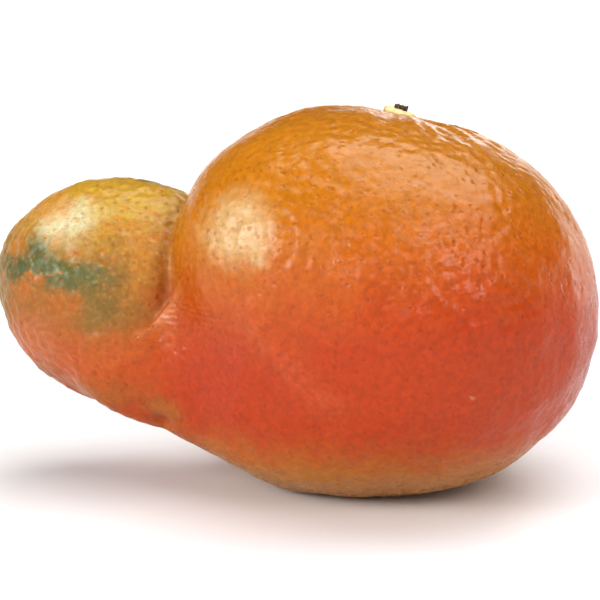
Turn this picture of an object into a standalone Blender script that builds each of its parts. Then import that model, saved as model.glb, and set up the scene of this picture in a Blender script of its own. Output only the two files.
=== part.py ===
"""A mandarin that grew a second, smaller lobe out of its left side, lying on its belly.

Blender 4.5, metres, +Z up. The origin is the middle of the flat spot that the fruit rests on.
+X runs along the fruit from the small lobe to the round end, and -Y is the side of the swollen cheek.
"""

import math
from typing import NamedTuple

import bmesh
import bpy
import numpy as np
from mathutils import Matrix, Vector

# The main fruit: a squat body whose round end hangs lower than its left shoulder
BODY_LENGTH = 0.0635
BODY_DEPTH = 0.068
BODY_HEIGHT = 0.0612
BODY_DIP = 16.0
BODY_CENTRE = (0.0086, 0.000, 0.0308)

# The small lobe: its free end points left and slightly up, and it is set back from the cheek
LOBE_LENGTH = 0.0456
LOBE_DEPTH = 0.0335
LOBE_HEIGHT = 0.0384
LOBE_DIP = 17.0
LOBE_CENTRE = (-0.0377, 0.0052, 0.0319)

# How far the swellings melt into each other, and where the crease between body and lobe fades out
BLEND = 0.009
CREASE_BLEND = 0.003
JOIN_BLEND = 0.0055
CREASE_END_LOW = 0.0230
CREASE_END_HIGH = 0.0320
CREASE_END_X = -0.033
CREASE_END_LEAN = 0.8

# Where the crease leaves the cheek: it turns left in an arc, as a step down to the lobe that runs out
CREASE_TURN = (-0.0410, 0.0395)
CREASE_TURN_RADIUS = 0.0124
CREASE_TURN_ANGLES = (-4.0, -22.0, -38.0, -70.0)
CREASE_STEP = 0.0008
CREASE_STEP_WIDTH = 0.0018
CREASE_STEP_SOFT = 0.0010

# The soft ridge from under the cheek to the belly, and the shallow valley to the right of the cheek
RIDGE_PATH = ((-0.0172, -0.0257, 0.0345), (-0.0139, -0.0268, 0.0287), (-0.0098, -0.0283, 0.0243),
              (-0.0046, -0.0293, 0.0199))
RIDGE_HEIGHT = 0.0005
RIDGE_WIDTH = 0.0021
VALLEY_PATH = ((-0.0036, -0.0240, 0.0530), (-0.0038, -0.0287, 0.0484), (-0.0033, -0.0319, 0.0372))
VALLEY_DEPTH = 0.00025
VALLEY_WIDTH = 0.0034

# The short fold under the root of the lobe, from the underside up to its front
FOLD_UNDER = (-0.0295, 0.001, 0.0)
FOLD_FRONT = (-0.0315, -0.040, 0.013)
FOLD_DEPTH = 0.0008
FOLD_WIDTH = 0.0022

# The stem end: where it is, how it leans towards +X, and the furrowed hollow round it
STEM_X = 0.0073
STEM_Y = 0.0045
STEM_LEAN = 18.0
HOLLOW_DEPTH = 0.0004
HOLLOW_RADIUS = 0.007
HOLLOW_WIDTH = 0.003
RIB_COUNT = 9
RIB_HEIGHT = 0.0002
RIB_RADIUS = 0.011
RIB_WIDTH = 0.007

# The dimple of the blossom scar, on the underside towards the back
SCAR_UNDER = (-0.010, 0.017, 0.0)
SCAR_DEPTH = 0.0006
SCAR_WIDTH = 0.0026

# The calyx, a pale corky collar, and the dried stub of the stem that stands in it
GAP = 0.0003
CALYX_RADIUS = 0.0028
CALYX_THICK = 0.0012
CALYX_PROUD = 0.0007
CALYX_LOBES = 5
CALYX_LOBE_SHARE = 0.08
STUB_RADIUS = 0.0014
STUB_PROUD = 0.0017
STUB_ROOT = 0.0012
STUB_RAGGED = 0.0004

# The skin's mesh
FACET = 0.0022
SETTLE_STEPS = 6
EVEN_ROUNDS = 4
REACH_STEPS = 60
PROBE = 0.00005


class Mass(NamedTuple):
    """One swelling of the fruit: an ellipsoid, turned about Y so that its +X end dips."""

    centre: tuple
    size: tuple
    dip: float = 0.0

    def distance(self, points):
        """How far each point is outside the swelling, negative inside and close to true at its skin."""
        dip = math.radians(self.dip)
        offset = points - np.array(self.centre)
        along = offset[:, 0] * math.cos(dip) - offset[:, 2] * math.sin(dip)
        rise = offset[:, 0] * math.sin(dip) + offset[:, 2] * math.cos(dip)
        local = np.stack([along, offset[:, 1], rise], axis=1)
        radii = np.array(self.size) / 2
        near = np.linalg.norm(local / radii, axis=1)
        steep = np.linalg.norm(local / radii**2, axis=1)
        return near * (near - 1) / np.maximum(steep, 1e-6)


BODY = Mass(BODY_CENTRE, (BODY_LENGTH, BODY_DEPTH, BODY_HEIGHT), BODY_DIP)
CROWN = Mass((-0.0044, 0.002, 0.0453), (0.035, 0.040, 0.0335), 9.0)
CHEEK = Mass((-0.007, -0.0085, 0.0415), (0.045, 0.040, 0.0375))
BELLY = Mass((-0.0069, -0.0005, 0.0194), (0.0451, 0.0454, 0.0377))
BRIDGE = Mass((-0.0289, -0.0058, 0.0223), (0.0317, 0.0120, 0.0220), 4.0)
LOBE = Mass(LOBE_CENTRE, (LOBE_LENGTH, LOBE_DEPTH, LOBE_HEIGHT), LOBE_DIP)
BODY_MASSES = (BODY, CROWN, CHEEK, BELLY, BRIDGE)


def smooth_step(values, low, high):
    """Rises smoothly from 0 at low to 1 at high."""
    share = np.clip((values - low) / (high - low), 0, 1)
    return share * share * (3 - 2 * share)


def melt(first, second, reach):
    """The union of two distances, rounded over where they are within reach of each other."""
    near = np.maximum(reach - np.abs(first - second), 0) / reach
    return np.minimum(first, second) - near**2 * reach / 4


def skin_distance(points):
    """Distance outside the smooth rind: the body's swellings melt together, and the lobe meets them in a
    sharp crease that fades out low on the fruit."""
    body = BODY_MASSES[0].distance(points)
    for mass in BODY_MASSES[1:]:
        body = melt(body, mass.distance(points), BLEND)
    lobe = LOBE.distance(points)
    along = points[:, 2] + CREASE_END_LEAN * (points[:, 0] - CREASE_END_X)
    creased = smooth_step(along, CREASE_END_LOW, CREASE_END_HIGH)
    reach = JOIN_BLEND + (CREASE_BLEND - JOIN_BLEND) * creased
    return melt(body, lobe, reach)


def skin_slope(points):
    """The direction and steepness in which the distance grows."""
    steps = np.eye(3) * PROBE
    rises = [skin_distance(points + step) - skin_distance(points - step) for step in steps]
    return np.stack(rises, axis=1) / (2 * PROBE)


def outward(points):
    slope = skin_slope(points)
    return slope / np.linalg.norm(slope, axis=1, keepdims=True)


def settle(points):
    """The points, moved onto the smooth rind."""
    for _ in range(SETTLE_STEPS):
        slope = skin_slope(points)
        steep = np.maximum((slope**2).sum(axis=1), 0.25)
        points = points - slope * (skin_distance(points) / steep)[:, None]
    return points


def reach_skin(start, direction):
    """The place where a straight line from outside the fruit meets the smooth rind."""
    point = np.array([start], float)
    for _ in range(REACH_STEPS):
        point += skin_distance(point)[:, None] * np.array(direction)
    return Vector(point[0])


def stem_frame():
    """A matrix at the stem end on the rind, with its Z along the stem."""
    place = reach_skin((STEM_X, STEM_Y, BODY_CENTRE[2] + BODY_HEIGHT), (0, 0, -1))
    return Matrix.Translation(place) @ Matrix.Rotation(math.radians(STEM_LEAN), 4, "Y")


def bump(values, middle, width):
    return np.exp(-(((values - middle) / width) ** 2))


def line_distance(points, start, end):
    """How far each point is from the straight line between two places."""
    start = np.array(start)
    along = np.array(end) - start
    share = np.clip((points - start) @ along / (along @ along), 0, 1)
    return np.linalg.norm(points - start - share[:, None] * along, axis=1)


def path_distance(points, path):
    """How far each point is from a line through several places."""
    return np.min([line_distance(points, start, end) for start, end in zip(path, path[1:])], axis=0)


def crease_turn(points):
    """How far each point is outside the arc in which the crease runs out, and how deep the crease is there."""
    across = points[:, 0] - CREASE_TURN[0]
    rise = points[:, 2] - CREASE_TURN[1]
    outside = np.hypot(across, rise) - CREASE_TURN_RADIUS
    angle = np.degrees(np.arctan2(rise, across))
    start, full, fading, end = CREASE_TURN_ANGLES
    share = smooth_step(angle, start, full) * smooth_step(angle, end, fading)
    return outside, share * (points[:, 1] < -0.002)


def crease_step(points):
    """The step down from the body to the lobe where the crease runs out."""
    outside, share = crease_turn(points)
    sunk = bump(np.minimum(outside, 0), 0, CREASE_STEP_WIDTH)
    return CREASE_STEP * share * sunk * smooth_step(outside, CREASE_STEP_SOFT, -CREASE_STEP_SOFT)


def relief(points):
    """What the furrows, hollow, fold, scar, ridge, valley and crease step add to the rind's height."""
    to_stem = np.array(stem_frame().inverted())
    local = points @ to_stem[:3, :3].T + to_stem[:3, 3]
    away = np.hypot(local[:, 0], local[:, 1])
    angle = np.arctan2(local[:, 1], local[:, 0])
    top = local[:, 2] > -HOLLOW_RADIUS
    hollow = HOLLOW_DEPTH * bump(away, HOLLOW_RADIUS, HOLLOW_WIDTH) * (1 + np.cos(angle)) / 2
    ribs = RIB_HEIGHT * bump(away, RIB_RADIUS, RIB_WIDTH) * np.cos(RIB_COUNT * angle)
    under = reach_skin(FOLD_UNDER, (0, 0, 1))
    front = reach_skin(FOLD_FRONT, (0, 1, 0))
    fold = FOLD_DEPTH * bump(line_distance(points, under, front), 0, FOLD_WIDTH)
    to_scar = np.linalg.norm(points - reach_skin(SCAR_UNDER, (0, 0, 1)), axis=1)
    scar = SCAR_DEPTH * bump(to_scar, 0, SCAR_WIDTH)
    ridge = RIDGE_HEIGHT * bump(path_distance(points, RIDGE_PATH), 0, RIDGE_WIDTH)
    valley = VALLEY_DEPTH * bump(path_distance(points, VALLEY_PATH), 0, VALLEY_WIDTH)
    return (ribs - hollow) * top - fold - scar + ridge - valley - crease_step(points)


def principled(name, colour, roughness):
    material = bpy.data.materials.new(name)
    material.use_nodes = True
    shader = material.node_tree.nodes["Principled BSDF"]
    shader.inputs["Base Color"].default_value = (*colour, 1)
    shader.inputs["Roughness"].default_value = roughness
    shader.inputs["Metallic"].default_value = 0
    return material


def new_object(name, mesh, collection, material=None):
    made = bpy.data.objects.new(name, mesh)
    collection.objects.link(made)
    if material:
        mesh.materials.append(material)
        mesh.shade_smooth()
    return made


def applied(made):
    """The object with its modifiers turned into mesh."""
    graph = bpy.context.evaluated_depsgraph_get()
    mesh = bpy.data.meshes.new_from_object(made.evaluated_get(graph))
    made.modifiers.clear()
    old, made.data = made.data, mesh
    bpy.data.meshes.remove(old)
    return made


def swellings_mesh():
    """The six ellipsoids as overlapping spheres in one mesh."""
    shapes = bmesh.new()
    for mass in (*BODY_MASSES, LOBE):
        turn = Matrix.Rotation(math.radians(mass.dip), 4, "Y")
        place = Matrix.Translation(Vector(mass.centre)) @ turn @ Matrix.Diagonal((*mass.size, 1))
        bmesh.ops.create_uvsphere(shapes, u_segments=48, v_segments=24, radius=0.5, matrix=place)
    mesh = bpy.data.meshes.new("mandarin")
    shapes.to_mesh(mesh)
    shapes.free()
    return mesh


def shape_rind(mesh):
    """Evens the remeshed skin out, settles it on the formula and gives it its relief and flat spot."""
    skin = bmesh.new()
    skin.from_mesh(mesh)
    for _ in range(EVEN_ROUNDS):
        bmesh.ops.smooth_vert(
            skin, verts=skin.verts, factor=0.5, use_axis_x=True, use_axis_y=True, use_axis_z=True
        )
        points = settle(np.array([vert.co for vert in skin.verts]))
        for vert, point in zip(skin.verts, points):
            vert.co = point
    points += outward(points) * relief(points)[:, None]
    points[:, 2] = np.maximum(points[:, 2], 0)
    for vert, point in zip(skin.verts, points):
        vert.co = point
    skin.to_mesh(mesh)
    skin.free()


def cutter(name, collection, radius, depth, height, frame):
    """A plain cylinder from depth below the stem end to height above it."""
    shape = bmesh.new()
    middle = Matrix.Translation((0, 0, (height - depth) / 2))
    bmesh.ops.create_cone(
        shape, cap_ends=True, segments=32, radius1=radius, radius2=radius,
        depth=height + depth, matrix=frame @ middle,
    )
    mesh = bpy.data.meshes.new(name)
    shape.to_mesh(mesh)
    shape.free()
    made = new_object(name, mesh, collection)
    made.hide_render = True
    made.display_type = "WIRE"
    return made


def cut(target, tool):
    boolean = target.modifiers.new(tool.name, "BOOLEAN")
    boolean.operation = "DIFFERENCE"
    boolean.solver = "EXACT"
    boolean.object = tool


def make_rind(collection, cutters, frame):
    """The whole fruit's skin, one grown body, with the seat that the calyx and its stub sit in."""
    material = principled("rind", (0.72, 0.20, 0.045), 0.35)
    rind = new_object("mandarin", swellings_mesh(), collection, material)
    remesh = rind.modifiers.new("one skin", "REMESH")
    remesh.mode = "VOXEL"
    remesh.voxel_size = FACET
    applied(rind)
    shape_rind(rind.data)
    rind.data.shade_smooth()
    seat_depth = CALYX_THICK - CALYX_PROUD + GAP
    seat_radius = CALYX_RADIUS * (1 + CALYX_LOBE_SHARE) + GAP
    cut(rind, cutter("calyx_seat", cutters, seat_radius, seat_depth, 0.004, frame))
    root_depth = seat_depth + STUB_ROOT
    cut(rind, cutter("stub_hole", cutters, STUB_RADIUS + GAP, root_depth, 0.003, frame))
    return rind


def make_calyx(collection, frame):
    """The collar, a ring turned about the stem and waved into five low lobes."""
    inner = STUB_RADIUS + GAP
    floor = CALYX_PROUD - CALYX_THICK
    middle = (inner + CALYX_RADIUS) / 2
    profile = (
        (inner, floor), (inner, CALYX_PROUD * 0.6), (middle, CALYX_PROUD),
        (CALYX_RADIUS * 0.9, CALYX_PROUD * 0.7), (CALYX_RADIUS, 0), (CALYX_RADIUS * 0.96, floor),
    )
    ring = bmesh.new()
    corners = [ring.verts.new((x, 0, z)) for x, z in profile]
    for first, second in zip(corners, corners[1:] + corners[:1]):
        ring.edges.new((first, second))
    mesh = bpy.data.meshes.new("calyx")
    ring.to_mesh(mesh)
    ring.free()
    calyx = new_object("calyx", mesh, collection, principled("calyx", (0.62, 0.46, 0.20), 0.6))
    screw = calyx.modifiers.new("turn", "SCREW")
    screw.steps = screw.render_steps = 40
    screw.use_merge_vertices = True
    screw.merge_threshold = 0.00002
    applied(calyx)
    for vert in calyx.data.vertices:
        angle = math.atan2(vert.co.y, vert.co.x)
        share = (math.hypot(vert.co.x, vert.co.y) - inner) / (CALYX_RADIUS - inner)
        wave = 1 + CALYX_LOBE_SHARE * share * math.cos(CALYX_LOBES * angle)
        vert.co.x *= wave
        vert.co.y *= wave
    calyx.data.shade_smooth()
    calyx.matrix_world = frame
    return calyx


def make_stub(collection, frame):
    """The dried stem stub, a short peg with a ragged broken top."""
    seat_depth = CALYX_THICK - CALYX_PROUD + GAP
    bottom = GAP - seat_depth - STUB_ROOT
    peg = bmesh.new()
    middle = Matrix.Translation((0, 0, (bottom + STUB_PROUD) / 2))
    bmesh.ops.create_cone(
        peg, cap_ends=True, segments=18, radius1=STUB_RADIUS, radius2=STUB_RADIUS * 0.85,
        depth=STUB_PROUD - bottom, matrix=middle,
    )
    for vert in peg.verts:
        if vert.co.z > 0:
            angle = math.atan2(vert.co.y, vert.co.x)
            vert.co.z += STUB_RAGGED * math.sin(4 * angle + 1) * math.cos(7 * angle)
    bmesh.ops.triangulate(peg, faces=peg.faces)
    mesh = bpy.data.meshes.new("stem_stub")
    peg.to_mesh(mesh)
    peg.free()
    stub = new_object("stem_stub", mesh, collection, principled("stem_stub", (0.06, 0.035, 0.02), 0.8))
    stub.data.set_sharp_from_angle(angle=math.radians(50))
    stub.matrix_world = frame
    return stub


def main():
    for old in list(bpy.data.objects):
        bpy.data.objects.remove(old)
    parts = bpy.data.collections.new("mandarin")
    cutters = bpy.data.collections.new("cutters")
    bpy.context.scene.collection.children.link(parts)
    bpy.context.scene.collection.children.link(cutters)
    frame = stem_frame()
    make_rind(parts, cutters, frame)
    make_calyx(parts, frame)
    make_stub(parts, frame)


main()
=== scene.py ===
"""The looks of a mandarin with a side lobe: its glossy pitted rind, corky calyx and dried stem stub.

Blender 4.5, metres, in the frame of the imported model: the origin is the middle of the rest spot, +X runs
from the small lobe to the round end, and -Y faces the camera.
"""

import math
from typing import NamedTuple

import bmesh
import bpy
import numpy as np
from mathutils import Matrix, Vector, noise


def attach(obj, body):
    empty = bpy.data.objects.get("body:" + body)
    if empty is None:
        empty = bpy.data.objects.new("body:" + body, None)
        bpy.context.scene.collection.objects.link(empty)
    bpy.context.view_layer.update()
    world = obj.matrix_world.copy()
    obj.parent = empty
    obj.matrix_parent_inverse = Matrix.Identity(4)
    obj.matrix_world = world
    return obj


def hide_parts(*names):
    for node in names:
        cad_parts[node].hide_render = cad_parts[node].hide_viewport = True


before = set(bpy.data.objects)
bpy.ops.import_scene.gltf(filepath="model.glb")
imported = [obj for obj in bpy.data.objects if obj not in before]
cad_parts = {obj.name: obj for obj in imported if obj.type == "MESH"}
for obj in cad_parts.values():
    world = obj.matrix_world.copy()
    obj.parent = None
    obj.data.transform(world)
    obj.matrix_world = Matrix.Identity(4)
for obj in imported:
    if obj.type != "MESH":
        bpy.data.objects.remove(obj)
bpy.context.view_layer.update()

MM = 0.001

# The form, with the part's own sizes of the main fruit and of the small lobe. The crease, its lip and the
# fold under the lobe are drawn sharper here than in the part
BODY_LENGTH = 0.0635
BODY_DEPTH = 0.068
BODY_HEIGHT = 0.0612
BODY_DIP = 16.0
BODY_CENTRE = (0.0086, 0.000, 0.0308)
LOBE_LENGTH = 0.0456
LOBE_DEPTH = 0.0335
LOBE_HEIGHT = 0.0384
LOBE_DIP = 17.0
LOBE_CENTRE = (-0.0377, 0.0052, 0.0319)

# How far the swellings melt into each other, and where the crease between body and lobe fades out
BLEND = 0.009
CREASE_BLEND = 0.0007
JOIN_BLEND = 0.0055
CREASE_END_LOW = 0.0230
CREASE_END_HIGH = 0.0320
CREASE_END_X = -0.033
CREASE_END_LEAN = 0.8

# Where the crease leaves the cheek: it turns left in an arc, as a step down to the lobe that runs out
CREASE_TURN = (-0.0410, 0.0395)
CREASE_TURN_RADIUS = 0.0124
CREASE_TURN_ANGLES = (-4.0, -22.0, -38.0, -70.0)
CREASE_STEP = 0.0008
CREASE_STEP_WIDTH = 0.0018
CREASE_STEP_SOFT = 0.0003
TURN_LIP = 0.0004
TURN_LIP_WIDTH = 0.0013

# The raised lip of the body's rind along the crease
LIP_HEIGHT = 0.0001
LIP_WIDTH = 0.0013

# The soft ridge from under the cheek to the belly, and the shallow valley to the right of the cheek
RIDGE_PATH = ((-0.0172, -0.0257, 0.0345), (-0.0139, -0.0268, 0.0287), (-0.0098, -0.0283, 0.0243),
              (-0.0046, -0.0293, 0.0199))
RIDGE_HEIGHT = 0.0005
RIDGE_WIDTH = 0.0021
VALLEY_PATH = ((-0.0036, -0.0240, 0.0530), (-0.0038, -0.0287, 0.0484), (-0.0033, -0.0319, 0.0372))
VALLEY_DEPTH = 0.00025
VALLEY_WIDTH = 0.0034

# The short fold under the root of the lobe
FOLD_UNDER = (-0.0295, 0.001, 0.0)
FOLD_FRONT = (-0.0315, -0.040, 0.013)
FOLD_DEPTH = 0.0011
FOLD_WIDTH = 0.0016

# The stem end
STEM_X = 0.0073
STEM_Y = 0.0045
STEM_LEAN = 18.0
HOLLOW_DEPTH = 0.0004
HOLLOW_RADIUS = 0.007
HOLLOW_WIDTH = 0.003
RIB_COUNT = 9
RIB_HEIGHT = 0.0002
RIB_RADIUS = 0.011
RIB_WIDTH = 0.007

# The blossom scar
SCAR_UNDER = (-0.010, 0.017, 0.0)
SCAR_DEPTH = 0.0006
SCAR_WIDTH = 0.0026

# The calyx and the stub
GAP = 0.0003
CALYX_RADIUS = 0.0028
CALYX_THICK = 0.0012
CALYX_PROUD = 0.0007
CALYX_LOBES = 5
CALYX_LOBE_SHARE = 0.08
STUB_RADIUS = 0.0014
STUB_PROUD = 0.0017
STUB_ROOT = 0.0012
STUB_RAGGED = 0.0004

# The fine skin's mesh
FACET = 0.00057
SETTLE_STEPS = 4
EVEN_ROUNDS = 3
REACH_STEPS = 60
PROBE = 0.00005

# Places of the rind's finer forms, in millimetres
BUMPY_PLACE = (14.1, -30.7, 41.5)
SWIRL_PLACE = (-14.8, -27.2, 45.5)
PEBBLE_PLACE = (-3.8, -28.7, 48.4)
CHEEK_PLACE = (-17.8, -25.5, 46.0)
WRINKLE_PLACE = (-26.5, -16.0, 32.0)
CRESCENT_PLACE = (0.0, -14.0, 59.0)

# Pebbles of the fine skin: how far apart in metres, how high in millimetres, and where they are higher
PEBBLE_LENGTH = 0.0021
PEBBLE_HEIGHT = 0.024
LOBE_PEBBLE_HEIGHT = 0.052
PEBBLED_PLACES = (
    (BUMPY_PLACE, (13, 11, 9), 0.085),
    (CHEEK_PLACE, (9, 9, 7), 0.042),
    (PEBBLE_PLACE, (7, 7, 9), 0.030),
    (CRESCENT_PLACE, (18, 13, 7), 0.050),
)
WORM_LENGTH = 0.0015
WORM_HEIGHT = 0.034
WORM_REACH = (12, 10, 8)

# How far the sides of the fine skin sink, so that their relief stays within the fruit's own size
SIDE_SINK = 0.00022

# The photograph's view
IMAGE_SIZE = 600
PIXELS_PER_MM = 6.0
ORIGIN_PIXEL_X = 355
VIEW_ELEVATION = 10.0
LENS = 100.0
SENSOR = 36.0
AIM_HEIGHT = 0.0316

# The rind's colours, from the lowest and front to the top and back
BODY_RAMP = (
    (0.150, (0.395, 0.044, 0.004)),
    (0.225, (0.402, 0.055, 0.005)),
    (0.325, (0.417, 0.074, 0.006)),
    (0.425, (0.430, 0.096, 0.009)),
    (0.500, (0.432, 0.112, 0.009)),
    (0.625, (0.430, 0.130, 0.007)),
    (0.750, (0.432, 0.147, 0.007)),
    (1.000, (0.450, 0.168, 0.009)),
)
OLIVE_TAN = (0.420, 0.170, 0.018)
# Painted shade for the strip on the lobe behind the crease
CREASE_SHADE = (0.330, 0.055, 0.008)
# Painted highlight along the lit rim of the crease's lip
CREASE_RIM_HIGHLIGHT = (0.520, 0.185, 0.075)
PIT_SHADE = (0.238, 0.036, 0.004)
LOBE_STREAK = (0.420, 0.130, 0.010)
# Painted glints on the raised glands of the lobe's top
LOBE_GLAND_GLINT = (0.600, 0.400, 0.110)
# Painted sheen along the soft ridge
RIDGE_SHEEN = (0.48, 0.100, 0.032)

# The lobe's colours, from its underside to its top
LOBE_RAMP = (
    (0.10, (0.396, 0.073, 0.012)),
    (0.30, (0.400, 0.088, 0.016)),
    (0.45, (0.320, 0.108, 0.018)),
    (0.62, (0.255, 0.118, 0.020)),
    (0.77, (0.345, 0.182, 0.028)),
    (0.88, (0.430, 0.255, 0.022)),
    (0.96, (0.450, 0.260, 0.024)),
)

# Soft patches: middle and radii in millimetres, colour, strength and softness of the edge
LOBE_TINTS_AND_PAINTED_LIGHT = (
    ((-39.0, -13.4, 36.5), (6.0, 6.0, 5.0), (0.251, 0.119, 0.023), 0.5, 0.6),
    ((-42.0, -13.8, 32.0), (5.5, 6.0, 3.5), (0.152, 0.119, 0.026), 0.75, 0.5),
    ((-36.0, -14.0, 30.5), (6.0, 5.0, 3.4), (0.270, 0.115, 0.022), 0.6, 0.6),
    ((-46.0, -12.0, 37.4), (7.5, 5.0, 2.4), (0.079, 0.106, 0.033), 0.85, 0.5),
    ((-51.8, -8.0, 40.9), (3.2, 5.0, 2.8), (0.046, 0.088, 0.036), 0.9, 0.6),
    ((-52.0, -8.0, 38.2), (6.0, 6.0, 1.6), (0.070, 0.098, 0.030), 0.8, 0.5),
    ((-56.7, -4.8, 38.0), (3.5, 8.0, 2.2), (0.059, 0.086, 0.033), 0.85, 0.5),
    ((-47.6, -4.8, 45.6), (5.4, 5.0, 3.6), (0.570, 0.520, 0.320), 0.95, 0.7),
    ((-33.5, 5.5, 50.4), (4.0, 2.2, 0.8), (0.100, 0.125, 0.060), 0.7, 0.6),
    ((-52.6, -9.1, 36.4), (2.4, 3.0, 0.9), (0.380, 0.110, 0.010), 0.85, 0.5),
    ((-54.5, -8.0, 34.1), (2.0, 3.0, 1.5), (0.400, 0.115, 0.011), 0.85, 0.5),
    ((-48.4, -11.8, 32.3), (4.4, 4.0, 2.2), (0.370, 0.108, 0.012), 0.85, 0.5),
    ((-47.9, -9.0, 42.9), (2.0, 3.0, 1.2), (0.409, 0.145, 0.020), 0.7, 0.5),
    ((-45.3, -11.2, 40.7), (1.5, 3.0, 0.9), (0.409, 0.145, 0.020), 0.7, 0.5),
    ((-32.6, -9.7, 43.4), (2.8, 3.0, 0.5), (0.488, 0.158, 0.017), 0.8, 0.5),
    ((-32.9, -6.6, 46.7), (2.8, 3.0, 0.5), (0.488, 0.172, 0.020), 0.6, 0.5),
    ((-37.6, -9.2, 45.2), (4.2, 4.0, 1.3), (0.449, 0.178, 0.026), 0.6, 0.6),
    ((-56.3, -3.7, 41.8), (2.5, 5.0, 2.2), (0.422, 0.172, 0.040), 0.7, 0.5),
    ((-51.0, 0.0, 47.5), (4.5, 6.0, 2.5), (0.502, 0.198, 0.030), 0.6, 0.5),
    # Painted reflection: a pinkish sheen of the floor low on the lobe's left
    ((-52.5, -6.6, 24.5), (4.0, 6.0, 5.0), (0.436, 0.145, 0.059), 0.6, 0.6),
    ((-60.5, 3.0, 34.0), (3.6, 9.0, 10.0), (0.190, 0.140, 0.035), 0.6, 0.6),
    ((-52.0, 4.0, 19.5), (7.0, 7.0, 3.0), (0.240, 0.120, 0.030), 0.55, 0.7),
    # Painted light: the lobe paler next to the crease, lifting its shade
    ((-33.5, -10.5, 38.5), (3.5, 6.0, 8.0), (0.500, 0.215, 0.030), 0.55, 0.7),
    ((-31.2, -13.1, 33.9), (3.5, 5.0, 3.0), (0.400, 0.095, 0.014), 0.7, 0.6),
    ((-31.8, -11.3, 41.0), (1.3, 3.0, 1.1), (0.180, 0.215, 0.110), 0.7, 0.6),
)
BODY_TINTS_AND_HIGHLIGHTS = (
    # Painted highlight: a cream patch where the left light catches the cheek, and a bright spot below it
    ((-18.9, -24.6, 47.0), (5.2, 7.0, 5.0), (0.540, 0.350, 0.160), 0.85, 0.7),
    ((-15.3, -27.3, 43.6), (1.7, 3.0, 1.6), (0.580, 0.430, 0.220), 0.35, 0.9),
    ((-26.5, -16.0, 34.5), (4.2, 5.0, 5.0), (0.400, 0.055, 0.008), 0.5, 0.8),
    ((-23.0, -18.5, 24.5), (11.0, 9.0, 8.0), (0.385, 0.036, 0.003), 0.75, 0.7),
    ((-31.0, -11.3, 15.2), (3.0, 4.0, 2.2), (0.300, 0.125, 0.022), 0.6, 0.7),
    ((-41.0, -8.0, 17.5), (9.0, 7.0, 2.6), (0.300, 0.110, 0.018), 0.6, 0.8),
    ((16.9, -32.8, 29.3), (0.330, 0.660, 0.330), (0.165, 0.026, 0.005), 0.7, 0.4),
    ((14.3, -33.0, 26.0), (0.264, 0.660, 0.264), (0.198, 0.026, 0.005), 0.6, 0.4),
    ((17.2, -31.4, 22.5), (0.528, 0.660, 0.396), (0.488, 0.198, 0.106), 0.6, 0.4),
    ((-15.5, -23.4, 14.4), (0.594, 0.660, 0.396), (0.436, 0.198, 0.086), 0.5, 0.4),
)

# The colours of the calyx, the stub and the floor
CALYX_RAMP = ((0.30, (0.62, 0.47, 0.20)), (0.50, (0.80, 0.66, 0.33)), (0.75, (0.86, 0.74, 0.42)))
STUB_RAMP = ((0.30, (0.018, 0.010, 0.006)), (0.55, (0.085, 0.048, 0.024)), (0.75, (0.26, 0.17, 0.09)))
FLOOR_RAMP = ((0.30, (0.84, 0.84, 0.84)), (0.70, (0.87, 0.87, 0.87)))

# The rind's oil gland pits, pebbles and grain, in millimetres
PIT_SPACING = 1.45
PIT_DEPTH = 0.060
PEBBLE_DEPTH = 0.16
GRAIN_DEPTH = 0.028
WRINKLE_SPACING = 0.9
WRINKLE_DEPTH = 0.05

# The studio, in metres. Soft boxes: direction from the fruit, distance, size, spin, brightness, edge softness
LIT_PLACE = Vector((-0.005, 0.0, 0.035))
ROOM_LIGHT = 0.06
OVERHEAD_PLACE = (0.44, -0.20, 1.33)
OVERHEAD_SIZE = (1.60, 1.60)
OVERHEAD_TURN = 25
OVERHEAD_GLOW = (0.9, 4.5)
SOFT_BOXES = (
    ("left", (-0.79, -0.51, 0.35), 0.60, (0.60, 0.38), 12, 10.4, 0.85),
    ("front", (-0.20, -0.86, 0.46), 0.75, (0.44, 0.42), 0, 4.4, 0.9),
    ("front_right", (0.50, -0.65, 0.55), 0.60, (0.46, 0.40), 0, 6.4, 0.9),
    ("right", (0.83, 0.53, -0.03), 0.60, (0.12, 0.36), 0, 3.8, 0.9),
    ("back_right", (0.24, 0.92, 0.30), 0.90, (0.42, 0.20), 0, 5.0, 0.9),
)
BACKDROP_PLACE = (0.0, 0.55, 1.0)
BACKDROP_LIGHT = (2.4, 0.5, 3.2)
DISH_RADIUS = 0.75
DISH_CURVE = 0.45


class Mass(NamedTuple):
    """One swelling of the fruit: an ellipsoid, turned about Y so that its +X end dips."""

    centre: tuple
    size: tuple
    dip: float = 0.0

    def distance(self, points):
        """How far each point is outside the swelling, negative inside and close to true at its skin."""
        dip = math.radians(self.dip)
        offset = points - np.array(self.centre)
        along = offset[:, 0] * math.cos(dip) - offset[:, 2] * math.sin(dip)
        rise = offset[:, 0] * math.sin(dip) + offset[:, 2] * math.cos(dip)
        local = np.stack([along, offset[:, 1], rise], axis=1)
        radii = np.array(self.size) / 2
        near = np.linalg.norm(local / radii, axis=1)
        steep = np.linalg.norm(local / radii**2, axis=1)
        return near * (near - 1) / np.maximum(steep, 1e-6)


BODY = Mass(BODY_CENTRE, (BODY_LENGTH, BODY_DEPTH, BODY_HEIGHT), BODY_DIP)
CROWN = Mass((-0.0044, 0.002, 0.0453), (0.035, 0.040, 0.0335), 9.0)
CHEEK = Mass((-0.007, -0.0085, 0.0415), (0.045, 0.040, 0.0375))
BELLY = Mass((-0.0069, -0.0005, 0.0194), (0.0451, 0.0454, 0.0377))
BRIDGE = Mass((-0.0289, -0.0058, 0.0223), (0.0317, 0.0120, 0.0220), 4.0)
LOBE = Mass(LOBE_CENTRE, (LOBE_LENGTH, LOBE_DEPTH, LOBE_HEIGHT), LOBE_DIP)
BODY_MASSES = (BODY, CROWN, CHEEK, BELLY, BRIDGE)


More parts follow.
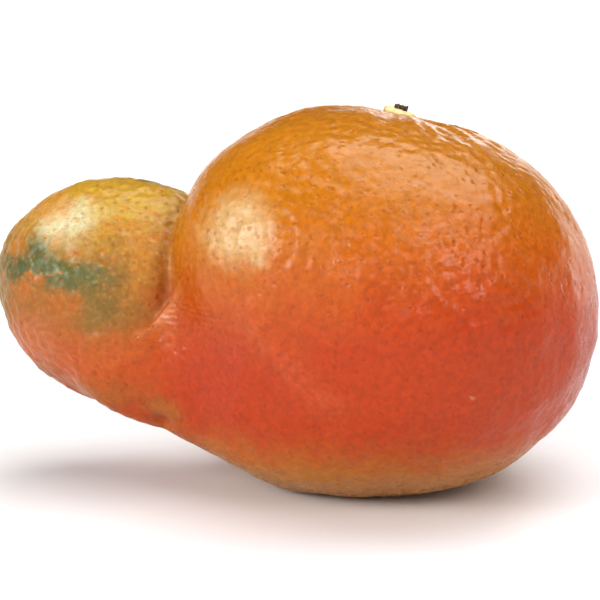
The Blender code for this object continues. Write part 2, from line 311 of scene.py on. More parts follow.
def smooth_step(values, low, high):
    """Rises smoothly from 0 at low to 1 at high."""
    share = np.clip((values - low) / (high - low), 0, 1)
    return share * share * (3 - 2 * share)


def melt(first, second, reach):
    """The union of two distances, rounded over where they are within reach of each other."""
    near = np.maximum(reach - np.abs(first - second), 0) / reach
    return np.minimum(first, second) - near**2 * reach / 4


def both_distances(points):
    """Distance outside the main fruit, and outside the small lobe."""
    body = BODY_MASSES[0].distance(points)
    for mass in BODY_MASSES[1:]:
        body = melt(body, mass.distance(points), BLEND)
    return body, LOBE.distance(points)


def creased_share(points):
    """1 where the lobe meets the body in a sharp crease, 0 below its end, where they run together."""
    along = points[:, 2] + CREASE_END_LEAN * (points[:, 0] - CREASE_END_X)
    return smooth_step(along, CREASE_END_LOW, CREASE_END_HIGH)


def skin_distance(points):
    """Distance outside the smooth rind, with its lip and its crease, which fades out low on the fruit."""
    body, lobe = both_distances(points)
    creased = creased_share(points)
    body = body - LIP_HEIGHT * creased * np.exp(-((lobe / LIP_WIDTH) ** 2))
    reach = JOIN_BLEND + (CREASE_BLEND - JOIN_BLEND) * creased
    return melt(body, lobe, reach)


def skin_slope(points):
    """The direction and steepness in which the distance grows."""
    steps = np.eye(3) * PROBE
    rises = [skin_distance(points + step) - skin_distance(points - step) for step in steps]
    return np.stack(rises, axis=1) / (2 * PROBE)


def outward(points):
    slope = skin_slope(points)
    return slope / np.linalg.norm(slope, axis=1, keepdims=True)


def settle(points):
    """The points, moved onto the smooth rind."""
    for _ in range(SETTLE_STEPS):
        slope = skin_slope(points)
        steep = np.maximum((slope**2).sum(axis=1), 0.25)
        points = points - slope * (skin_distance(points) / steep)[:, None]
    return points


def reach_skin(start, direction):
    """The place where a straight line from outside the fruit meets the smooth rind."""
    point = np.array([start], float)
    for _ in range(REACH_STEPS):
        point += skin_distance(point)[:, None] * np.array(direction)
    return Vector(point[0])


def stem_frame():
    """A matrix at the stem end on the rind, with its Z along the stem."""
    place = reach_skin((STEM_X, STEM_Y, BODY_CENTRE[2] + BODY_HEIGHT), (0, 0, -1))
    return Matrix.Translation(place) @ Matrix.Rotation(math.radians(STEM_LEAN), 4, "Y")


def bump(values, middle, width):
    return np.exp(-(((values - middle) / width) ** 2))


def line_distance(points, start, end):
    """How far each point is from the straight line between two places."""
    start = np.array(start)
    along = np.array(end) - start
    share = np.clip((points - start) @ along / (along @ along), 0, 1)
    return np.linalg.norm(points - start - share[:, None] * along, axis=1)


def waves(points, length, count, seed):
    """Soft random lumps about as far apart as length: many flat waves in seeded directions, about -1 to 1."""
    draw = np.random.default_rng(seed)
    directions = draw.normal(size=(count, 3))
    directions /= np.linalg.norm(directions, axis=1, keepdims=True)
    lengths = length * draw.uniform(0.75, 1.35, count)
    phases = draw.uniform(0, 2 * math.pi, count)
    total = np.zeros(len(points))
    for direction, each, phase in zip(directions, lengths, phases):
        total += np.sin(points @ direction * (2 * math.pi / each) + phase)
    return total * math.sqrt(2 / count)


def path_distance(points, path):
    """How far each point is from a line through several places."""
    return np.min([line_distance(points, start, end) for start, end in zip(path, path[1:])], axis=0)


def crease_turn(points):
    """How far each point is outside the arc where the crease runs out, and the crease's share there."""
    across = points[:, 0] - CREASE_TURN[0]
    rise = points[:, 2] - CREASE_TURN[1]
    outside = np.hypot(across, rise) - CREASE_TURN_RADIUS
    angle = np.degrees(np.arctan2(rise, across))
    start, full, fading, end = CREASE_TURN_ANGLES
    share = smooth_step(angle, start, full) * smooth_step(angle, end, fading)
    return outside, share * (points[:, 1] < -0.002)


def crease_step(points):
    """The step down from the body's lip to the lobe where the crease runs out."""
    outside, share = crease_turn(points)
    over = smooth_step(outside, -CREASE_STEP_SOFT, CREASE_STEP_SOFT)
    sunk = CREASE_STEP * bump(np.minimum(outside, 0), 0, CREASE_STEP_WIDTH) * (1 - over)
    lip = TURN_LIP * bump(np.maximum(outside, 0), TURN_LIP_WIDTH * 0.4, TURN_LIP_WIDTH) * over
    return share * (sunk - lip)


def relief(points):
    """What the furrows, hollow, fold, scar, ridge, valley and crease step add to the rind's height."""
    to_stem = np.array(stem_frame().inverted())
    local = points @ to_stem[:3, :3].T + to_stem[:3, 3]
    away = np.hypot(local[:, 0], local[:, 1])
    angle = np.arctan2(local[:, 1], local[:, 0])
    top = local[:, 2] > -HOLLOW_RADIUS
    hollow = HOLLOW_DEPTH * bump(away, HOLLOW_RADIUS, HOLLOW_WIDTH) * (1 + np.cos(angle)) / 2
    ribs = RIB_HEIGHT * bump(away, RIB_RADIUS, RIB_WIDTH) * np.cos(RIB_COUNT * angle)
    under = reach_skin(FOLD_UNDER, (0, 0, 1))
    front = reach_skin(FOLD_FRONT, (0, 1, 0))
    fold = FOLD_DEPTH * bump(line_distance(points, under, front), 0, FOLD_WIDTH)
    to_scar = np.linalg.norm(points - reach_skin(SCAR_UNDER, (0, 0, 1)), axis=1)
    scar = SCAR_DEPTH * bump(to_scar, 0, SCAR_WIDTH)
    uneven = 1 + 0.25 * waves(points, 0.0026, 40, 5)
    ridge = RIDGE_HEIGHT * bump(path_distance(points, RIDGE_PATH), 0, RIDGE_WIDTH) * uneven
    valley = VALLEY_DEPTH * bump(path_distance(points, VALLEY_PATH), 0, VALLEY_WIDTH)
    return (ribs - hollow) * top - fold - scar + ridge - valley - crease_step(points)


def near_place(points, place, radii):
    """1 at the middle of a soft ellipsoid, falling to 0 some way outside it."""
    away = np.linalg.norm((points / MM - np.array(place)) / np.array(radii), axis=1)
    return np.exp(-(away**2))


def stem_places(points):
    """How far each point is from the stem's axis, its turn about that axis, and whether it is on top."""
    to_stem = np.array(stem_frame().inverted())
    local = points @ to_stem[:3, :3].T + to_stem[:3, 3]
    return np.hypot(local[:, 0], local[:, 1]), np.arctan2(local[:, 1], local[:, 0]), local[:, 2] > -0.02


def fine_relief(points, lobe_share):
    """The rind's own unevenness: lumps, pebbled places, ripples and ribs."""
    lumps = 0.10 * waves(points, 0.011, 40, 1) + 0.035 * waves(points, 0.0050, 60, 2)
    lumps += lobe_share * 0.040 * waves(points, 0.0042, 60, 3)
    pebbles = waves(points, PEBBLE_LENGTH, 110, 4)
    worms = WORM_HEIGHT * near_place(points, BUMPY_PLACE, WORM_REACH) * waves(points, WORM_LENGTH, 110, 8)
    pebbled = PEBBLE_HEIGHT + LOBE_PEBBLE_HEIGHT * lobe_share
    for place, reach, extra in PEBBLED_PLACES:
        pebbled = pebbled + extra * near_place(points, place, reach)
    spot = np.array(SWIRL_PLACE) * MM
    round_spot = np.linalg.norm(points - spot, axis=1) / MM
    right_side = smooth_step(points[:, 0] - spot[0], 0.001, 0.005)
    ripples = 0.100 * bump(round_spot, 5.4, 3.6) * np.cos(2 * math.pi * (round_spot - 3.6) / 2.7) * right_side
    away, angle, top = stem_places(points)
    drift = 0.35 * waves(points, 0.02, 30, 6)
    ribs = np.cos(31 * (angle + 0.1 * drift)) * bump(away / MM, 10.0, 10.0) * smooth_step(away, 0.0032, 0.006)
    ribs = ribs * (0.10 + 0.10 * np.cos(angle)) * top
    return (lumps + pebbled * pebbles + worms + ripples + ribs) * MM


def seat_depth(points):
    """How far the skin sinks under the calyx, so that the collar sits in it."""
    away, _, top = stem_places(points)
    depth = CALYX_THICK - CALYX_PROUD + GAP
    sunk = 1 - smooth_step(away, CALYX_RADIUS - 0.0004, CALYX_RADIUS + GAP + 0.0003)
    return sunk * depth * top


def coords(vertices):
    flat = np.empty(len(vertices) * 3)
    vertices.foreach_get("co", flat)
    return flat.reshape(-1, 3)


def swellings_mesh(name):
    """The ellipsoids as overlapping spheres in one mesh."""
    shapes = bmesh.new()
    for mass in (*BODY_MASSES, LOBE):
        turn = Matrix.Rotation(math.radians(mass.dip), 4, "Y")
        place = Matrix.Translation(Vector(mass.centre)) @ turn @ Matrix.Diagonal((*mass.size, 1))
        bmesh.ops.create_uvsphere(shapes, u_segments=96, v_segments=48, radius=0.5, matrix=place)
    mesh = bpy.data.meshes.new(name)
    shapes.to_mesh(mesh)
    shapes.free()
    return mesh


def applied(made):
    """The object with its modifiers turned into mesh."""
    graph = bpy.context.evaluated_depsgraph_get()
    mesh = bpy.data.meshes.new_from_object(made.evaluated_get(graph))
    made.modifiers.clear()
    made.data = mesh
    return made


def smooth_points(mesh, points, share):
    """Each point moved a share of the way to the middle of its neighbours."""
    edges = np.empty(len(mesh.edges) * 2, np.int32)
    mesh.edges.foreach_get("vertices", edges)
    first, second = edges.reshape(-1, 2).T
    total = np.zeros_like(points)
    np.add.at(total, first, points[second])
    np.add.at(total, second, points[first])
    count = np.bincount(edges, minlength=len(points))[:, None]
    return points + (total / count - points) * share


def keep(mesh, name, values):
    """Stores one number for each vertex under a name that the material reads."""
    layer = mesh.attributes.new(name, "FLOAT", "POINT")
    layer.data.foreach_set("value", np.asarray(values, np.float32))


def lobe_side(points, body, lobe):
    """1 on the lobe, 0 on the body: soft where they run together, sharp along the crease."""
    reach = 0.004 - 0.0034 * creased_share(points)
    outside, turned = crease_turn(points)
    share = smooth_step(body - lobe, -reach, reach)
    return share + (smooth_step(outside, 0.0004, -0.0004) - share) * turned


def keep_marks(mesh, points, body, lobe):
    """Stores where the crease's rim gets a painted highlight, where the strip behind it gets painted shade,
    and the soft ridge, which gets a painted sheen.
    """
    outside, turned = crease_turn(points)
    low_front = smooth_step(points[:, 2], 0.0385, 0.0350) * (points[:, 1] < -0.002)
    upper = creased_share(points) * (1 - low_front)
    faint = 0.35 + 0.65 * smooth_step(points[:, 2], 0.041, 0.036)
    # Painted highlight: the lip's lit rim along the crease
    rim = upper * faint * bump(body - lobe, -0.0006, 0.0008)
    keep(mesh, "crease_rim_highlight", rim + turned * bump(outside, 0.0007, 0.0008))
    # Painted shade: the strip on the lobe's side behind the crease
    behind = upper * bump(body - lobe, 0.0010, 0.0012)
    keep(mesh, "crease_painted_shade", behind + turned * bump(outside, -0.0006, 0.0009))
    keep(mesh, "ridge", bump(path_distance(points, RIDGE_PATH), 0, 1.3 * RIDGE_WIDTH))
    keep(mesh, "wrinkled", near_place(points, WRINKLE_PLACE, (5.5, 6, 2.2)))


def make_rind():
    """The fine skin that stands for the CAD fruit."""
    rind = bpy.data.objects.new("rind_skin", swellings_mesh("rind_skin"))
    bpy.context.scene.collection.objects.link(rind)
    remesh = rind.modifiers.new("one skin", "REMESH")
    remesh.mode = "VOXEL"
    remesh.voxel_size = FACET
    applied(rind)
    points = coords(rind.data.vertices)
    for _ in range(EVEN_ROUNDS):
        points = settle(smooth_points(rind.data, points, 0.5))
    body, lobe = both_distances(points)
    keep_marks(rind.data, points, body, lobe)
    lobe_share = lobe_side(points, body, lobe)
    keep(rind.data, "lobe_share", lobe_share)
    height = relief(points) + fine_relief(points, lobe_share) - seat_depth(points)
    facing = outward(points)
    height -= SIDE_SINK * (1 - np.abs(facing[:, 2]))
    points += facing * height[:, None]
    points[:, 2] = np.maximum(points[:, 2], 0)
    rind.data.vertices.foreach_set("co", points.ravel())
    rind.data.update()
    rind.data.shade_smooth()
    print("rind triangles", 2 * len(rind.data.polygons))
    return rind


class Nodes:
    """The nodes of one material, by short names. Sizes and places are in millimetres."""

    def __init__(self, name):
        self.material = bpy.data.materials.new(name)
        self.material.use_nodes = True
        self.tree = self.material.node_tree
        self.shader = self.tree.nodes["Principled BSDF"]
        where = self.tree.nodes.new("ShaderNodeTexCoord").outputs["Object"]
        self.place = self.scaled(where, 1 / MM)

    def put(self, socket, value):
        if isinstance(value, bpy.types.NodeSocket):
            self.tree.links.new(value, socket)
        elif isinstance(value, tuple) and socket.type == "RGBA":
            socket.default_value = (*value[:3], 1)
        else:
            socket.default_value = value

    def add(self, kind, settings, *values):
        node = self.tree.nodes.new(kind)
        for key, value in settings.items():
            setattr(node, key, value)
        for socket, value in zip([s for s in node.inputs if s.enabled], values):
            if value is not None:
                self.put(socket, value)
        return node

    def math(self, operation, *values, clamp=False):
        return self.add("ShaderNodeMath", {"operation": operation, "use_clamp": clamp}, *values).outputs[0]

    def vector(self, operation, *values):
        node = self.add("ShaderNodeVectorMath", {"operation": operation}, *values)
        return node.outputs["Value" if operation in ("LENGTH", "DOT_PRODUCT", "DISTANCE") else "Vector"]

    def scaled(self, place, scale):
        node = self.tree.nodes.new("ShaderNodeVectorMath")
        node.operation = "SCALE"
        self.put(node.inputs[0], place)
        self.put(node.inputs["Scale"], scale)
        return node.outputs["Vector"]

    def step(self, value, low, high, start=0.0, end=1.0):
        settings = {"interpolation_type": "SMOOTHSTEP", "clamp": True}
        return self.add("ShaderNodeMapRange", settings, value, low, high, start, end).outputs[0]

    def noise(self, place, size, detail=2.0, rough=0.5, out="Fac"):
        node = self.tree.nodes.new("ShaderNodeTexNoise")
        self.put(node.inputs["Vector"], place)
        self.put(node.inputs["Scale"], 1 / size)
        self.put(node.inputs["Detail"], detail)
        self.put(node.inputs["Roughness"], rough)
        return node.outputs[out]

    def cells(self, place, size, feature="F1", uneven=1.0):
        node = self.tree.nodes.new("ShaderNodeTexVoronoi")
        node.feature = feature
        self.put(node.inputs["Vector"], place)
        self.put(node.inputs["Scale"], 1 / size)
        self.put(node.inputs["Randomness"], uneven)
        return node.outputs["Distance"]

    def ramp(self, value, stops):
        node = self.tree.nodes.new("ShaderNodeValToRGB")
        points = node.color_ramp.elements
        while len(points) < len(stops):
            points.new(0.5)
        for point, (position, colour) in zip(points, stops):
            point.position = position
            point.color = (*colour, 1)
        self.put(node.inputs[0], value)
        return node.outputs["Color"]

    def mix(self, share, first, second, mode="MIX"):
        node = self.tree.nodes.new("ShaderNodeMix")
        node.data_type = "RGBA"
        node.blend_type = mode
        self.put(node.inputs["Factor"], share)
        first_socket, second_socket = [s for s in node.inputs if s.type == "RGBA"]
        self.put(first_socket, first)
        self.put(second_socket, second)
        return [s for s in node.outputs if s.type == "RGBA"][0]

    def attribute(self, name):
        return self.add("ShaderNodeAttribute", {"attribute_name": name}).outputs["Fac"]

    def apart(self, vector):
        return self.add("ShaderNodeSeparateXYZ", {}, vector).outputs

    def joined(self, x, y, z):
        return self.add("ShaderNodeCombineXYZ", {}, x, y, z).outputs[0]

    def patch(self, colour, place, unevenness, middle, radii, tint, strength=1.0, soft=0.5):
        """The colour, turned to a tint within a soft-edged, uneven ellipsoid."""
        offset = self.vector("SUBTRACT", place, tuple(middle))
        local = self.vector("DIVIDE", offset, tuple(radii))
        away = self.math("ADD", self.vector("LENGTH", local), unevenness)
        share = self.step(away, 1 + soft, 1 - soft, 0.0, strength)
        return self.mix(share, colour, tint)

    def bump(self, height, depth, normal=None):
        """Height in millimetres, as a bump of the surface."""
        node = self.tree.nodes.new("ShaderNodeBump")
        node.inputs["Strength"].default_value = 1.0
        node.inputs["Distance"].default_value = depth * MM
        self.put(node.inputs["Height"], height)
        if normal:
            self.put(node.inputs["Normal"], normal)
        return node.outputs["Normal"]


def rind_body_colour(nodes, place):
    """Amber on top and at the back, deep red-orange in front and low, dull olive round the rest spot."""
    x, y, z = nodes.apart(place)
    rise = nodes.vector("DOT_PRODUCT", nodes.vector("SUBTRACT", place, (5, 0, 32)), (-0.14, 0.40, 0.90))
    cloud = nodes.noise(nodes.place, 9.0, 3.0, 0.55)
    rise = nodes.math("MULTIPLY_ADD", cloud, 9.0, nodes.math("SUBTRACT", rise, 4.5))
    level = nodes.math("DIVIDE", nodes.math("ADD", rise, 20), 40, clamp=True)
    colour = nodes.ramp(level, BODY_RAMP)
    wavy = nodes.noise(nodes.place, 6.0, 3.0, 0.6)
    low = nodes.math("MULTIPLY_ADD", wavy, 6.0, nodes.math("SUBTRACT", z, 3.0))
    return nodes.mix(nodes.step(low, 17.0, 3.0), colour, OLIVE_TAN)


def rind_lobe_colour(nodes, place, unevenness):
    """Golden above, olive brown in the middle with green and orange patches, salmon orange below."""
    z = nodes.apart(place)[2]
    colour = nodes.ramp(nodes.math("DIVIDE", nodes.math("SUBTRACT", z, 12), 40, clamp=True), LOBE_RAMP)
    # Lobe tints, with a painted reflection and painted light among them
    for middle, radii, tint, strength, soft in LOBE_TINTS_AND_PAINTED_LIGHT:
        colour = nodes.patch(colour, place, unevenness, middle, radii, tint, strength, soft)
    streaks = nodes.noise(nodes.vector("MULTIPLY", place, (0.35, 0.6, 1.0)), 0.9, 3.0, 0.65)
    golden = nodes.step(z, 26, 38)
    orange = nodes.math("MULTIPLY", golden, nodes.step(streaks, 0.50, 0.72, 0.0, 0.65))
    colour = nodes.mix(orange, colour, LOBE_STREAK)
    # Painted glints: lighter dots on the raised glands of the lobe's upper part
    gland_glints = nodes.step(nodes.cells(nodes.place, 1.05), 0.48, 0.10)
    return nodes.mix(nodes.math("MULTIPLY", golden, nodes.math("MULTIPLY", gland_glints, 0.16)), colour, LOBE_GLAND_GLINT)


def rind_material():
    """Waxy pitted citrus rind."""
    nodes = Nodes("rind")
    drift = nodes.vector("SUBTRACT", nodes.noise(nodes.place, 4.0, 3.0, 0.6, "Color"), (0.5, 0.5, 0.5))
    place = nodes.vector("ADD", nodes.place, nodes.scaled(drift, 5.0))
    unevenness = nodes.math("MULTIPLY_ADD", nodes.noise(nodes.place, 1.6, 3.0, 0.65), 0.9, -0.45)
    body = rind_body_colour(nodes, place)
    lobe = rind_lobe_colour(nodes, place, unevenness)
    colour = nodes.mix(nodes.attribute("lobe_share"), body, lobe)
    # Body tints, and the cheek's painted highlight
    for middle, radii, tint, strength, soft in BODY_TINTS_AND_HIGHLIGHTS:
        colour = nodes.patch(colour, place, unevenness, middle, radii, tint, strength, soft)
    # Painted shade in the strip behind the crease
    colour = nodes.mix(nodes.math("MULTIPLY", nodes.attribute("crease_painted_shade"), 0.25), colour, CREASE_SHADE)
    # Painted highlight along the crease's rim
    colour = nodes.mix(nodes.math("MULTIPLY", nodes.attribute("crease_rim_highlight"), 0.5), colour, CREASE_RIM_HIGHLIGHT)

    # Painted sheen: pale streaks along the soft ridge
    streaks = nodes.noise(nodes.vector("MULTIPLY", nodes.place, (0.45, 1.0, 1.0)), 0.8, 3.0, 0.6)
    pale = nodes.math("MULTIPLY", nodes.attribute("ridge"), nodes.step(streaks, 0.42, 0.66, 0.10, 0.55))
    colour = nodes.mix(pale, colour, RIDGE_SHEEN)

    mottle = nodes.noise(nodes.place, 0.9, 3.0, 0.65)
    light = nodes.step(mottle, 0.3, 0.7, 0.86, 1.13)
    colour = nodes.mix(1.0, colour, nodes.joined(light, light, light), "MULTIPLY")
    pit_place = nodes.vector("ADD", nodes.place, nodes.scaled(drift, 0.8))
    pits = nodes.cells(pit_place, PIT_SPACING)
    pit = nodes.step(pits, 0.34, 0.06)
    colour = nodes.mix(nodes.math("MULTIPLY", pit, 0.34), colour, PIT_SHADE)
    nodes.put(nodes.shader.inputs["Base Color"], colour)

    pebble = nodes.cells(nodes.vector("ADD", nodes.place, nodes.scaled(drift, 1.4)), 1.5, "SMOOTH_F1")
    grain = nodes.noise(nodes.place, 0.45, 2.0, 0.6)
    normal = nodes.bump(nodes.math("SUBTRACT", 1.0, pit), PIT_DEPTH)
    normal = nodes.bump(nodes.math("SUBTRACT", 1.0, pebble), PEBBLE_DEPTH, normal)
    normal = nodes.bump(grain, GRAIN_DEPTH, normal)
    z = nodes.apart(pit_place)[2]
    furrows = nodes.math("SINE", nodes.math("MULTIPLY", z, 2 * math.pi / WRINKLE_SPACING))
    normal = nodes.bump(nodes.math("MULTIPLY", furrows, nodes.attribute("wrinkled")), WRINKLE_DEPTH, normal)
    nodes.put(nodes.shader.inputs["Normal"], normal)
    rough = nodes.step(nodes.noise(nodes.place, 3.0, 2.0), 0.3, 0.7, 0.24, 0.33)
    lobe_rough = nodes.math("MULTIPLY_ADD", nodes.attribute("lobe_share"), 0.07, rough)
    nodes.put(nodes.shader.inputs["Roughness"], lobe_rough)
    nodes.shader.inputs["IOR"].default_value = 1.45
    nodes.shader.inputs["Specular IOR Level"].default_value = 0.4
    return nodes.material


def make_calyx():
    """The pale corky collar: a low ring with a wavy, five-lobed edge and a wrinkled top."""
    inner = STUB_RADIUS + GAP * 0.5
    floor = CALYX_PROUD - CALYX_THICK
    outline = [(inner, floor)]
    outline += [(inner, floor + (CALYX_PROUD * 0.7 - floor) * k / 5) for k in range(1, 6)]
    top = [(0.12, 0.92), (0.28, 1.0), (0.44, 0.96), (0.58, 0.9)]
    top += [(0.72, 0.8), (0.84, 0.62), (0.93, 0.36), (1.0, 0.02)]
    outline += [(inner + (CALYX_RADIUS - inner) * a, CALYX_PROUD * b) for a, b in top]
    outline += [(CALYX_RADIUS * 0.99, floor * 0.5), (CALYX_RADIUS * 0.96, floor)]
    around = 120
    ring = bmesh.new()
    rows = []
    for k in range(around):
        angle = 2 * math.pi * k / around
        ray = Vector((math.cos(angle), math.sin(angle), 0))
        row = []
        for radius, height in outline:
            share = (radius - inner) / (CALYX_RADIUS - inner)
            lobed = 1 + CALYX_LOBE_SHARE * share * math.cos(CALYX_LOBES * angle)
            ragged = 1 + 0.05 * share * noise.noise(ray * 4.0)
            spot = ray * (radius * lobed * ragged)
            wrinkle = noise.noise(Vector((ray.x * 7, ray.y * 7, radius / MM * 0.9)))
            wrinkle += 0.6 * noise.noise(ray * 16 + Vector((0, 0, radius / MM * 1.2)))
            lift = CALYX_PROUD * 0.22 * wrinkle if height > 0.1 * CALYX_PROUD else 0
            row.append(ring.verts.new((spot.x, spot.y, height + lift)))
        rows.append(row)
    for first, second in zip(rows, rows[1:] + rows[:1]):
        for low in range(len(outline)):
            high = (low + 1) % len(outline)
            ring.faces.new((first[low], second[low], second[high], first[high]))
    bmesh.ops.recalc_face_normals(ring, faces=ring.faces)
    mesh = bpy.data.meshes.new("calyx_ring")
    ring.to_mesh(mesh)
    ring.free()
    calyx = bpy.data.objects.new("calyx_ring", mesh)
    bpy.context.scene.collection.objects.link(calyx)
    mesh.transform(stem_frame())
    mesh.shade_smooth()
    return calyx


def make_stub():
    """The dried stem stub: a fibrous peg, broken off ragged."""
    seat = CALYX_THICK - CALYX_PROUD + GAP
    bottom = GAP - seat - STUB_ROOT
    around, rise = 72, 16
    peg = bmesh.new()
    rows = []
    for level in range(rise + 1):
        share = level / rise
        row = []
        for k in range(around):
            angle = 2 * math.pi * k / around
            ray = Vector((math.cos(angle), math.sin(angle), 0))
            fibre = noise.noise(ray * 5 + Vector((0, 0, share * 0.7)))
            radius = STUB_RADIUS * (0.92 - 0.14 * share + 0.10 * fibre)
            ragged = STUB_RAGGED * (noise.noise(ray * 3.3) + 0.5 * noise.noise(ray * 9.0))
            top = STUB_PROUD - 0.0005 + 1.6 * ragged
            row.append(peg.verts.new((*(ray * radius).xy, bottom + (top - bottom) * share)))
        rows.append(row)
    for level in range(1, 7):
        shrink = 1 - level / 7
        row = []
        for k, rim in enumerate(rows[rise]):
            ray = Vector((rim.co.x, rim.co.y, 0))
            pith = noise.noise(Vector((ray.x, ray.y, 0)) / MM * 2.4 * shrink)
            height = rim.co.z * shrink + (STUB_PROUD - 0.00045) * (1 - shrink) + STUB_RAGGED * 0.8 * pith
            row.append(peg.verts.new((rim.co.x * shrink, rim.co.y * shrink, height)))
        rows.append(row)
    for low, high in zip(rows, rows[1:]):
        for k in range(around):
            after = (k + 1) % around
            peg.faces.new((low[k], low[after], high[after], high[k]))
    peg.faces.new(list(reversed(rows[0])))
    peg.faces.new(rows[-1])
    mesh = bpy.data.meshes.new("stub_peg")
    peg.to_mesh(mesh)
    peg.free()
    stub = bpy.data.objects.new("stub_peg", mesh)
    bpy.context.scene.collection.objects.link(stub)
    mesh.transform(stem_frame())
    mesh.shade_smooth()
    return stub


def calyx_material():
    """Dry pale yellow cork, blotched, with brown flecks."""
    nodes = Nodes("calyx")
    blotch = nodes.noise(nodes.place, 1.1, 3.0, 0.6)
    fleck = nodes.noise(nodes.place, 0.25, 3.0, 0.7)
    colour = nodes.ramp(blotch, CALYX_RAMP)
    colour = nodes.mix(nodes.step(fleck, 0.6, 0.75, 0.0, 0.5), colour, (0.40, 0.24, 0.09))
    nodes.put(nodes.shader.inputs["Base Color"], colour)
    nodes.put(nodes.shader.inputs["Roughness"], nodes.step(fleck, 0.3, 0.7, 0.5, 0.75))
    nodes.put(nodes.shader.inputs["Normal"], nodes.bump(fleck, 0.08))
    return nodes.material


def stub_material():
    """Dark dried wood, with paler fibres along it."""
    nodes = Nodes("stub")
    x, y, z = nodes.apart(nodes.place)
    fibres = nodes.noise(nodes.joined(x, y, nodes.math("MULTIPLY", z, 0.25)), 0.22, 3.0, 0.65)
    colour = nodes.ramp(fibres, STUB_RAMP)
    nodes.put(nodes.shader.inputs["Base Color"], colour)
    nodes.put(nodes.shader.inputs["Roughness"], nodes.step(fibres, 0.3, 0.7, 0.7, 0.9))
    nodes.put(nodes.shader.inputs["Normal"], nodes.bump(fibres, 0.10))
    return nodes.material


def make_camera():
    """The photograph's view: level with the fruit and a little above, close enough for a 100 mm lens."""
    distance = IMAGE_SIZE / PIXELS_PER_MM * MM * LENS / SENSOR
    aim = Vector(((IMAGE_SIZE / 2 - ORIGIN_PIXEL_X) / PIXELS_PER_MM * MM, 0, AIM_HEIGHT))
    turn = Matrix.Rotation(math.radians(90 - VIEW_ELEVATION), 4, "X")
    data = bpy.data.cameras.new("camera")
    data.lens = LENS
    data.sensor_width = SENSOR
    data.clip_start = 0.01
    camera = bpy.data.objects.new("camera", data)
    camera.matrix_world = Matrix.Translation(aim) @ turn @ Matrix.Translation((0, 0, distance))
    bpy.context.scene.collection.objects.link(camera)
    bpy.context.scene.camera = camera


def floor_material():
    nodes = Nodes("floor")
    paper = nodes.noise(nodes.place, 40.0, 3.0, 0.6)
    nodes.put(nodes.shader.inputs["Base Color"], nodes.ramp(paper, FLOOR_RAMP))
    nodes.shader.inputs["Roughness"].default_value = 0.9
    nodes.shader.inputs["Specular IOR Level"].default_value = 0.1
    return nodes.material


def facing_matrix(middle, direction, spin=0.0):
    """A matrix at a place, whose -Z looks along a direction, spun about that direction."""
    turn = Vector(direction).to_track_quat("-Z", "Y").to_matrix().to_4x4()
    return Matrix.Translation(middle) @ turn @ Matrix.Rotation(math.radians(spin), 4, "Z")


def glowing_panel(name, matrix, size):
    """A flat rectangle, and the nodes of its material, whose glow the caller sets."""
    width, depth = size
    sheet = bmesh.new()
    corners = [(-width, -depth), (width, -depth), (width, depth), (-width, depth)]
    sheet.faces.new([sheet.verts.new((x / 2, y / 2, 0)) for x, y in corners])
    mesh = bpy.data.meshes.new(name)
    sheet.to_mesh(mesh)
    sheet.free()
    panel = bpy.data.objects.new(name, mesh)
    panel.matrix_world = matrix
    bpy.context.scene.collection.objects.link(panel)
    nodes = Nodes(name)
    mesh.materials.append(nodes.material)
    return nodes


def set_glow(nodes, strength, share=1.0):
    """The panel glows, and is clear where its share falls to 0."""
    glow = nodes.tree.nodes.new("ShaderNodeEmission")
    nodes.put(glow.inputs["Strength"], strength)
    clear = nodes.tree.nodes.new("ShaderNodeBsdfTransparent")
    both = nodes.tree.nodes.new("ShaderNodeMixShader")
    nodes.put(both.inputs[0], share)
    nodes.tree.links.new(clear.outputs[0], both.inputs[1])
    nodes.tree.links.new(glow.outputs[0], both.inputs[2])
    nodes.tree.links.new(both.outputs[0], nodes.tree.nodes["Material Output"].inputs["Surface"])


def soft_box(name, toward, distance, size, spin, brightness, soft):
    """A soft box in a direction from the fruit, facing it and fading towards its edges."""
    direction = Vector(toward).normalized()
    nodes = glowing_panel(name, facing_matrix(LIT_PLACE + direction * distance, -direction, spin), size)
    width, depth = size
    local = nodes.vector("DIVIDE", nodes.place, (width / 2 / MM, depth / 2 / MM, 1))
    set_glow(nodes, brightness, nodes.step(nodes.vector("LENGTH", local), 1, 1 - soft))


def make_overhead():
    """The large soft box above the fruit, brightest along its back edge."""
    matrix = Matrix.Translation(OVERHEAD_PLACE) @ Matrix.Rotation(math.radians(OVERHEAD_TURN), 4, "Z")
    nodes = glowing_panel("overhead", matrix, OVERHEAD_SIZE)
    half = OVERHEAD_SIZE[1] / 2 / MM
    x, y, z = nodes.apart(nodes.place)
    back = nodes.step(y, -half, half, *OVERHEAD_GLOW)
    side = OVERHEAD_SIZE[0] / 2 / MM
    set_glow(nodes, nodes.math("MULTIPLY", back, nodes.step(x, -side, -0.3 * side, 0.25, 1.0)))


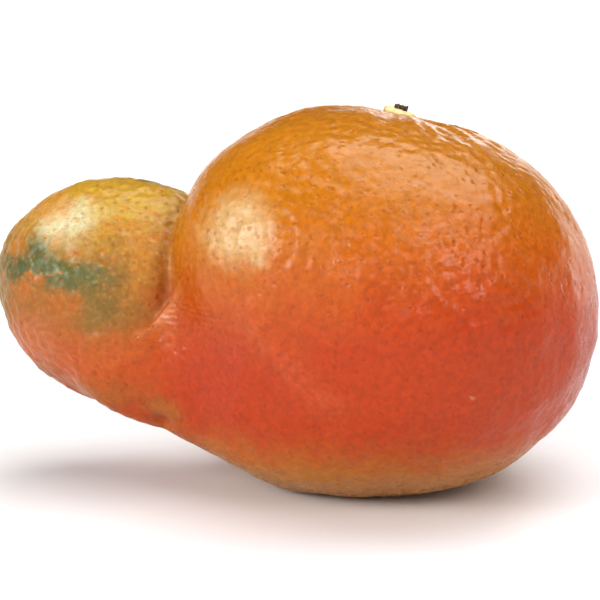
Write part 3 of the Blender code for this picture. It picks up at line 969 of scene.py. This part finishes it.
def make_floor():
    """A pale round floor that curves up all round, like a shallow dish."""
    around = 96
    profile = [(0.0, 0.0), (DISH_RADIUS, 0.0)]
    for degrees in range(6, 73, 6):
        turn = math.radians(degrees)
        profile.append((DISH_RADIUS + DISH_CURVE * math.sin(turn), DISH_CURVE * (1 - math.cos(turn))))
    dish = bmesh.new()
    middle = dish.verts.new((0, 0, 0))
    rings = []
    for radius, height in profile[1:]:
        angles = [2 * math.pi * k / around for k in range(around)]
        rings.append([dish.verts.new((radius * math.cos(a), radius * math.sin(a), height)) for a in angles])
    for k in range(around):
        after = (k + 1) % around
        dish.faces.new((middle, rings[0][k], rings[0][after]))
        for low, high in zip(rings, rings[1:]):
            dish.faces.new((low[k], low[after], high[after], high[k]))
    bmesh.ops.recalc_face_normals(dish, faces=dish.faces)
    mesh = bpy.data.meshes.new("floor")
    dish.to_mesh(mesh)
    dish.free()
    mesh.shade_smooth()
    floor = bpy.data.objects.new("floor", mesh)
    bpy.context.scene.collection.objects.link(floor)
    mesh.materials.append(floor_material())


def make_studio():
    """The pale floor, a dim room and soft boxes."""
    make_floor()
    make_overhead()
    world = bpy.data.worlds.new("dim room")
    world.use_nodes = True
    world.node_tree.nodes["Background"].inputs["Color"].default_value = (1, 1, 1, 1)
    world.node_tree.nodes["Background"].inputs["Strength"].default_value = ROOM_LIGHT
    bpy.context.scene.world = world
    for box in SOFT_BOXES:
        soft_box(*box)
    width, depth, brightness = BACKDROP_LIGHT
    data = bpy.data.lights.new("backdrop", "AREA")
    data.shape = "RECTANGLE"
    data.size, data.size_y = width, depth
    data.energy = brightness * math.pi * width * depth
    light = bpy.data.objects.new("backdrop", data)
    light.matrix_world = facing_matrix(BACKDROP_PLACE, (0, 0.90, -0.43))
    bpy.context.scene.collection.objects.link(light)
    bpy.context.scene.view_settings.view_transform = "Standard"
    bpy.context.scene.view_settings.look = "Medium High Contrast"


def finished(piece, node, material):
    """The piece rides on the fruit, stands for its CAD node and has its material."""
    piece.data.materials.append(material)
    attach(piece, "root")
    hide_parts(node)


finished(make_rind(), "mandarin", rind_material())
finished(make_calyx(), "calyx", calyx_material())
finished(make_stub(), "stem_stub", stub_material())
make_camera()
make_studio()
